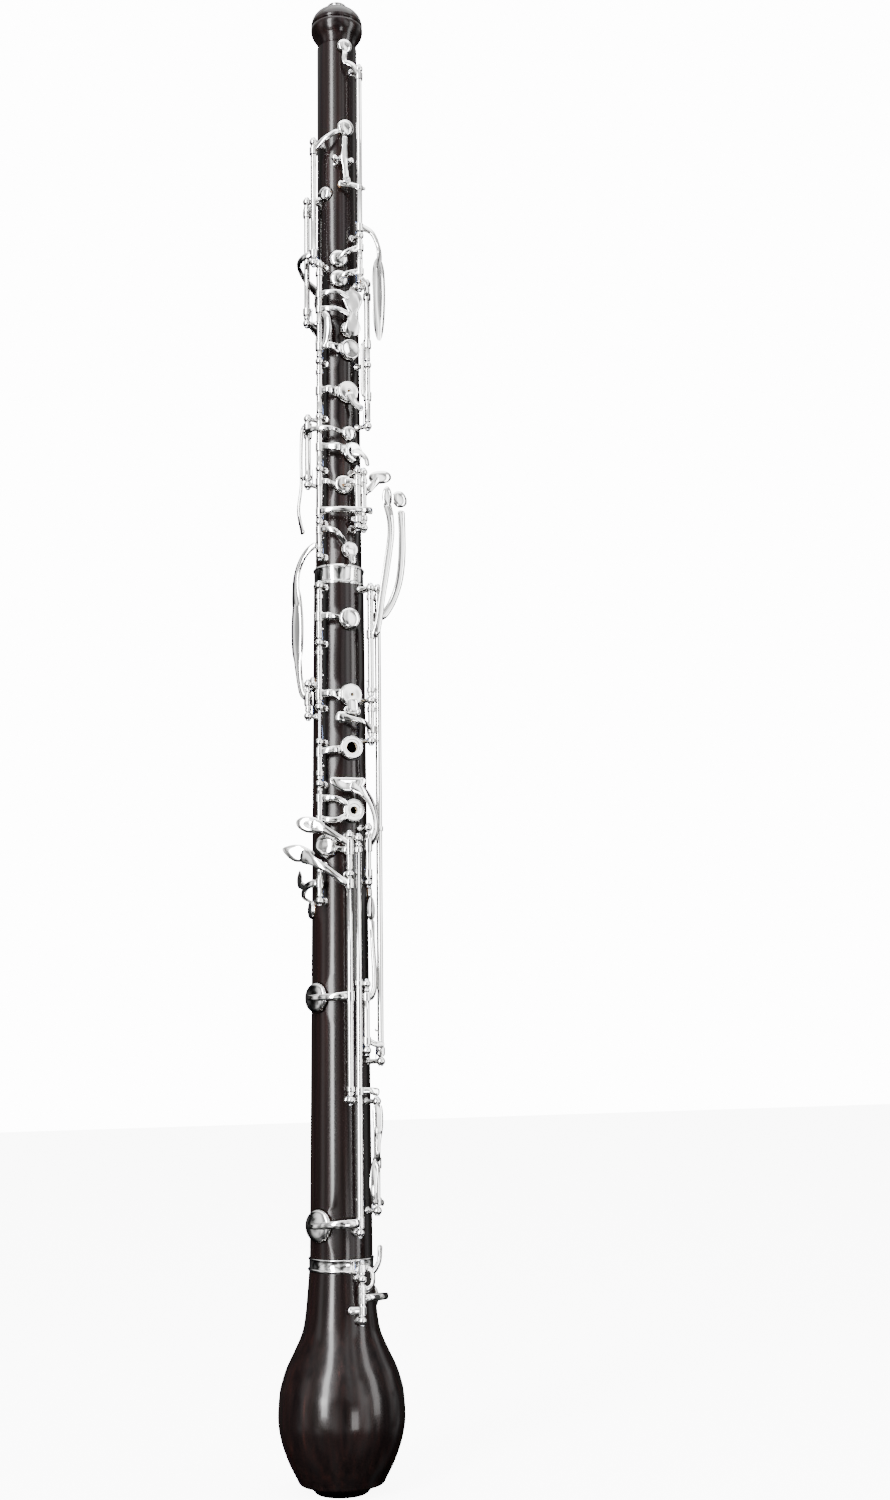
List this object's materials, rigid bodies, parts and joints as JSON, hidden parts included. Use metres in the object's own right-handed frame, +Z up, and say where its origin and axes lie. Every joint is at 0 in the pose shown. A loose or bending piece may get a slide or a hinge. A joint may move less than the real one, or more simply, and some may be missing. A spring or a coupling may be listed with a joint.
{
  "type": "cor anglais",
  "caption": "Cor anglais: dark wood body in joints with a pear bell, and silver-plated keys that turn on steel rods between posts; bocal socket at the top.",
  "frame": {"origin": "centre of the bell mouth, on the plane of the mouth ring", "axes": "+Z up the bore to the bocal socket, the finger holes face -Y"},
  "size_m": [0.0638, 0.0649, 0.7998],
  "materials": {
    "grenadilla": "polished dark grenadilla with fine reddish-brown grain",
    "silver_plate": "bright silver plate",
    "blued_steel": "polished hardened steel",
    "cork": "sheet cork",
    "pad_skin": "thin pale skin over felt"
  },
  "bodies": {
    "body": {"bell": "grenadilla", "bell_mouth_ring": "silver_plate", "bell_posts": "silver_plate", "bell_ring": "silver_plate", "bocal_receiver": "silver_plate", "crown": "grenadilla", "hinge_rods": "blued_steel", "lower_joint": "grenadilla", "lower_joint_cork": "cork", "lower_joint_posts": "silver_plate", "middle_ring": "silver_plate", "needle_springs": "blued_steel", "thumb_rest": "silver_plate", "top_joint": "grenadilla", "top_joint_cork": "cork", "top_joint_posts": "silver_plate"},
    "side_octave_key": {"side_octave_key": "silver_plate"},
    "thumb_octave_key": {"thumb_octave_key": "silver_plate"},
    "third_octave_key": {"third_octave_key": "silver_plate"},
    "upper_trill_key": {"upper_trill_key": "silver_plate"},
    "lower_trill_key": {"lower_trill_key": "silver_plate"},
    "trill_lever": {"trill_lever": "silver_plate"},
    "half_hole_key": {"half_hole_key": "silver_plate"},
    "first_finger_key": {"first_finger_key": "silver_plate", "first_finger_pad": "pad_skin"},
    "second_finger_key": {"second_finger_key": "silver_plate", "second_finger_pad": "pad_skin"},
    "c_trill_key": {"c_trill_key": "silver_plate"},
    "third_finger_key": {"third_finger_key": "silver_plate", "third_finger_pad": "pad_skin"},
    "g_sharp_key": {"g_sharp_key": "silver_plate", "g_sharp_pad": "pad_skin"},
    "bridge_key": {"bridge_key": "silver_plate"},
    "g_sharp_touch": {"g_sharp_touch": "silver_plate"},
    "left_f_link": {"left_f_link": "silver_plate"},
    "low_b_lever": {"low_b_lever": "silver_plate"},
    "low_b_flat_lever": {"low_b_flat_lever": "silver_plate"},
    "side_trill_lever": {"side_trill_lever": "silver_plate"},
    "first_vent_key": {"first_vent_key": "silver_plate", "first_vent_pad": "pad_skin"},
    "right_first_finger_key": {"right_first_finger_key": "silver_plate", "right_first_finger_pad": "pad_skin"},
    "d_trill_key": {"d_trill_key": "silver_plate"},
    "right_second_finger_key": {"right_second_finger_key": "silver_plate", "right_second_finger_pad": "pad_skin"},
    "f_key": {"f_key": "silver_plate"},
    "right_third_finger_key": {"right_third_finger_key": "silver_plate", "right_third_finger_pad": "pad_skin"},
    "low_c_key": {"low_c_key": "silver_plate", "low_c_pad": "pad_skin"},
    "low_c_sharp_key": {"low_c_sharp_key": "silver_plate", "low_c_sharp_pad": "pad_skin"},
    "e_flat_key": {"e_flat_key": "silver_plate"},
    "low_b_key": {"low_b_key": "silver_plate", "low_b_pad": "pad_skin"},
    "low_b_link": {"low_b_link": "silver_plate"},
    "bell_link": {"bell_link": "silver_plate"},
    "bell_key": {"bell_key": "silver_plate", "bell_pad": "pad_skin"},
    "octave_rocker": {"octave_rocker": "silver_plate"}
  },
  "joints": [
    {"name": "side_octave_key_turn", "type": "hinge", "parent": "body", "child": "side_octave_key", "pos_m": [0.007, -0.01571, 0.70575], "axis": [0, 0, 1], "range_deg": [0, 5], "stiffness_Nm_per_rad": 0.01, "springref_deg": -2.86},
    {"name": "thumb_octave_key_turn", "type": "hinge", "parent": "body", "child": "thumb_octave_key", "pos_m": [-0.01616, -0.00588, 0.67625], "axis": [0, 0, 1], "range_deg": [-5, 0], "stiffness_Nm_per_rad": 0.01, "springref_deg": 2.86},
    {"name": "third_octave_key_turn", "type": "hinge", "parent": "body", "child": "third_octave_key", "pos_m": [-0.01656, 0.00382, 0.645], "axis": [0, 0, 1], "range_deg": [-5, 0], "stiffness_Nm_per_rad": 0.01, "springref_deg": 2.86},
    {"name": "upper_trill_key_turn", "type": "hinge", "parent": "body", "child": "upper_trill_key", "pos_m": [0.007, -0.01571, 0.64835], "axis": [0, 0, 1], "range_deg": [0, 5], "stiffness_Nm_per_rad": 0.01, "springref_deg": -2.86},
    {"name": "lower_trill_key_turn", "type": "hinge", "parent": "body", "child": "lower_trill_key", "pos_m": [0.007, -0.01571, 0.63565], "axis": [0, 0, 1], "range_deg": [0, 5], "stiffness_Nm_per_rad": 0.01, "springref_deg": -2.86},
    {"name": "trill_lever_turn", "type": "hinge", "parent": "body", "child": "trill_lever", "pos_m": [0.01145, -0.01466, 0.589], "axis": [0, 0, 1], "range_deg": [0, 5], "stiffness_Nm_per_rad": 0.01, "springref_deg": -2.86},
    {"name": "half_hole_key_turn", "type": "hinge", "parent": "body", "child": "half_hole_key", "pos_m": [-0.01426, -0.00962, 0.62025], "axis": [0, 0, 1], "range_deg": [0, 4.46], "stiffness_Nm_per_rad": 0.01, "springref_deg": -2.86},
    {"name": "first_finger_key_turn", "type": "hinge", "parent": "body", "child": "first_finger_key", "pos_m": [-0.01426, -0.00962, 0.59485], "axis": [0, 0, 1], "range_deg": [0, 4.46], "stiffness_Nm_per_rad": 0.01, "springref_deg": -2.86},
    {"name": "second_finger_key_turn", "type": "hinge", "parent": "body", "child": "second_finger_key", "pos_m": [-0.01426, -0.00962, 0.5676], "axis": [0, 0, 1], "range_deg": [0, 4.46], "stiffness_Nm_per_rad": 0.01, "springref_deg": -2.86},
    {"name": "c_trill_key_turn", "type": "hinge", "parent": "body", "child": "c_trill_key", "pos_m": [-0.01796, -0.00126, 0.5345], "axis": [0, 0, 1], "range_deg": [-5, 0], "stiffness_Nm_per_rad": 0.01, "springref_deg": 2.86},
    {"name": "third_finger_key_turn", "type": "hinge", "parent": "body", "child": "third_finger_key", "pos_m": [-0.01426, -0.00962, 0.5375], "axis": [0, 0, 1], "range_deg": [0, 4.46], "stiffness_Nm_per_rad": 0.01, "springref_deg": -2.86},
    {"name": "g_sharp_key_turn", "type": "hinge", "parent": "body", "child": "g_sharp_key", "pos_m": [-0.01426, -0.00962, 0.5083], "axis": [0, 0, 1], "range_deg": [-5, 0], "stiffness_Nm_per_rad": 0.01, "springref_deg": 2.86},
    {"name": "bridge_key_turn", "type": "hinge", "parent": "body", "child": "bridge_key", "pos_m": [-0.01426, -0.00962, 0.4843], "axis": [0, 0, 1], "range_deg": [0, 4.46], "stiffness_Nm_per_rad": 0.01, "springref_deg": -2.86},
    {"name": "g_sharp_touch_turn", "type": "hinge", "parent": "body", "child": "g_sharp_touch", "pos_m": [0.00807, -0.01654, 0.50615], "axis": [0, 0, 1], "range_deg": [0, 5], "stiffness_Nm_per_rad": 0.01, "springref_deg": -2.86},
    {"name": "left_f_link_turn", "type": "hinge", "parent": "body", "child": "left_f_link", "pos_m": [0.00414, -0.01793, 0.50615], "axis": [0, 0, 1], "range_deg": [0, 5], "stiffness_Nm_per_rad": 0.01, "springref_deg": -2.86},
    {"name": "low_b_lever_turn", "type": "hinge", "parent": "body", "child": "low_b_lever", "pos_m": [0.01159, -0.01655, 0.428], "axis": [0, 0, 1], "range_deg": [0, 4], "stiffness_Nm_per_rad": 0.01, "springref_deg": -2.86},
    {"name": "low_b_flat_lever_turn", "type": "hinge", "parent": "body", "child": "low_b_flat_lever", "pos_m": [0.01624, -0.01514, 0.33445], "axis": [0, 0, 1], "range_deg": [0, 4], "stiffness_Nm_per_rad": 0.01, "springref_deg": -2.86},
    {"name": "side_trill_lever_turn", "type": "hinge", "parent": "body", "child": "side_trill_lever", "pos_m": [-0.01861, -0.00328, 0.398], "axis": [0, 0, 1], "range_deg": [0, 5], "stiffness_Nm_per_rad": 0.01, "springref_deg": -2.86},
    {"name": "first_vent_key_turn", "type": "hinge", "parent": "body", "child": "first_vent_key", "pos_m": [-0.01533, -0.01155, 0.44285], "axis": [0, 0, 1], "range_deg": [0, 4.46], "stiffness_Nm_per_rad": 0.01, "springref_deg": -2.86},
    {"name": "right_first_finger_key_turn", "type": "hinge", "parent": "body", "child": "right_first_finger_key", "pos_m": [-0.01533, -0.01155, 0.41025], "axis": [0, 0, 1], "range_deg": [0, 4.46], "stiffness_Nm_per_rad": 0.01, "springref_deg": -2.86},
    {"name": "d_trill_key_turn", "type": "hinge", "parent": "body", "child": "d_trill_key", "pos_m": [0.01159, -0.01655, 0.3868], "axis": [0, 0, 1], "range_deg": [-4, 0], "stiffness_Nm_per_rad": 0.01, "springref_deg": 2.86},
    {"name": "right_second_finger_key_turn", "type": "hinge", "parent": "body", "child": "right_second_finger_key", "pos_m": [-0.01533, -0.01155, 0.3636], "axis": [0, 0, 1], "range_deg": [0, 4.46], "stiffness_Nm_per_rad": 0.01, "springref_deg": -2.86},
    {"name": "f_key_turn", "type": "hinge", "parent": "body", "child": "f_key", "pos_m": [0.00915, -0.01722, 0.31575], "axis": [0, 0, 1], "range_deg": [-5, 0], "stiffness_Nm_per_rad": 0.01, "springref_deg": 2.86},
    {"name": "right_third_finger_key_turn", "type": "hinge", "parent": "body", "child": "right_third_finger_key", "pos_m": [-0.01533, -0.01155, 0.34105], "axis": [0, 0, 1], "range_deg": [0, 4.46], "stiffness_Nm_per_rad": 0.01, "springref_deg": -2.86},
    {"name": "low_c_key_turn", "type": "hinge", "parent": "body", "child": "low_c_key", "pos_m": [-0.00205, -0.01949, 0.31545], "axis": [0, 0, 1], "range_deg": [-4.46, 0], "stiffness_Nm_per_rad": 0.01, "springref_deg": 2.86},
    {"name": "low_c_sharp_key_turn", "type": "hinge", "parent": "body", "child": "low_c_sharp_key", "pos_m": [-0.00205, -0.01949, 0.24845], "axis": [0, 0, 1], "range_deg": [-4.46, 0], "stiffness_Nm_per_rad": 0.01, "springref_deg": 2.86},
    {"name": "e_flat_key_turn", "type": "hinge", "parent": "body", "child": "e_flat_key", "pos_m": [-0.01533, -0.01155, 0.30125], "axis": [0, 0, 1], "range_deg": [0, 5], "stiffness_Nm_per_rad": 0.01, "springref_deg": -2.86},
    {"name": "low_b_key_turn", "type": "hinge", "parent": "body", "child": "low_b_key", "pos_m": [0.00276, -0.01961, 0.22525], "axis": [0, 0, 1], "range_deg": [-4.46, 0], "stiffness_Nm_per_rad": 0.01, "springref_deg": 2.86},
    {"name": "low_b_link_turn", "type": "hinge", "parent": "body", "child": "low_b_link", "pos_m": [0.0072, -0.01877, 0.23275], "axis": [0, 0, 1], "range_deg": [0, 4], "stiffness_Nm_per_rad": 0.01, "springref_deg": -2.86},
    {"name": "bell_link_turn", "type": "hinge", "parent": "body", "child": "bell_link", "pos_m": [0.013, -0.01725, 0.1635], "axis": [0, 0, 1], "range_deg": [0, 4], "stiffness_Nm_per_rad": 0.01, "springref_deg": -2.86},
    {"name": "bell_key_turn", "type": "hinge", "parent": "body", "child": "bell_key", "pos_m": [0.00299, -0.02129, 0.09965], "axis": [0, 0, 1], "range_deg": [-5, 0], "stiffness_Nm_per_rad": 0.01, "springref_deg": 2.86},
    {"name": "octave_rocker_turn", "type": "hinge", "parent": "body", "child": "octave_rocker", "pos_m": [0, -0.0144, 0.7], "axis": [1, 0, 0], "range_deg": [0, 4], "stiffness_Nm_per_rad": 0.01, "springref_deg": -2.86}
  ],
  "couplings": [
    {"joint": "g_sharp_key_turn", "follows": "g_sharp_touch_turn", "ratio": -1},
    {"joint": "low_b_key_turn", "follows": "low_b_lever_turn", "ratio": -1.1137},
    {"joint": "low_b_link_turn", "follows": "low_b_flat_lever_turn", "ratio": 1},
    {"joint": "bell_link_turn", "follows": "low_b_flat_lever_turn", "ratio": 1},
    {"joint": "bell_key_turn", "follows": "low_b_flat_lever_turn", "ratio": -1.25},
    {"joint": "lower_trill_key_turn", "follows": "trill_lever_turn", "ratio": 1},
    {"joint": "c_trill_key_turn", "follows": "side_trill_lever_turn", "ratio": -1},
    {"joint": "first_vent_key_turn", "follows": "right_first_finger_key_turn", "ratio": 1},
    {"joint": "octave_rocker_turn", "follows": "thumb_octave_key_turn", "ratio": -0.8}
  ]
}
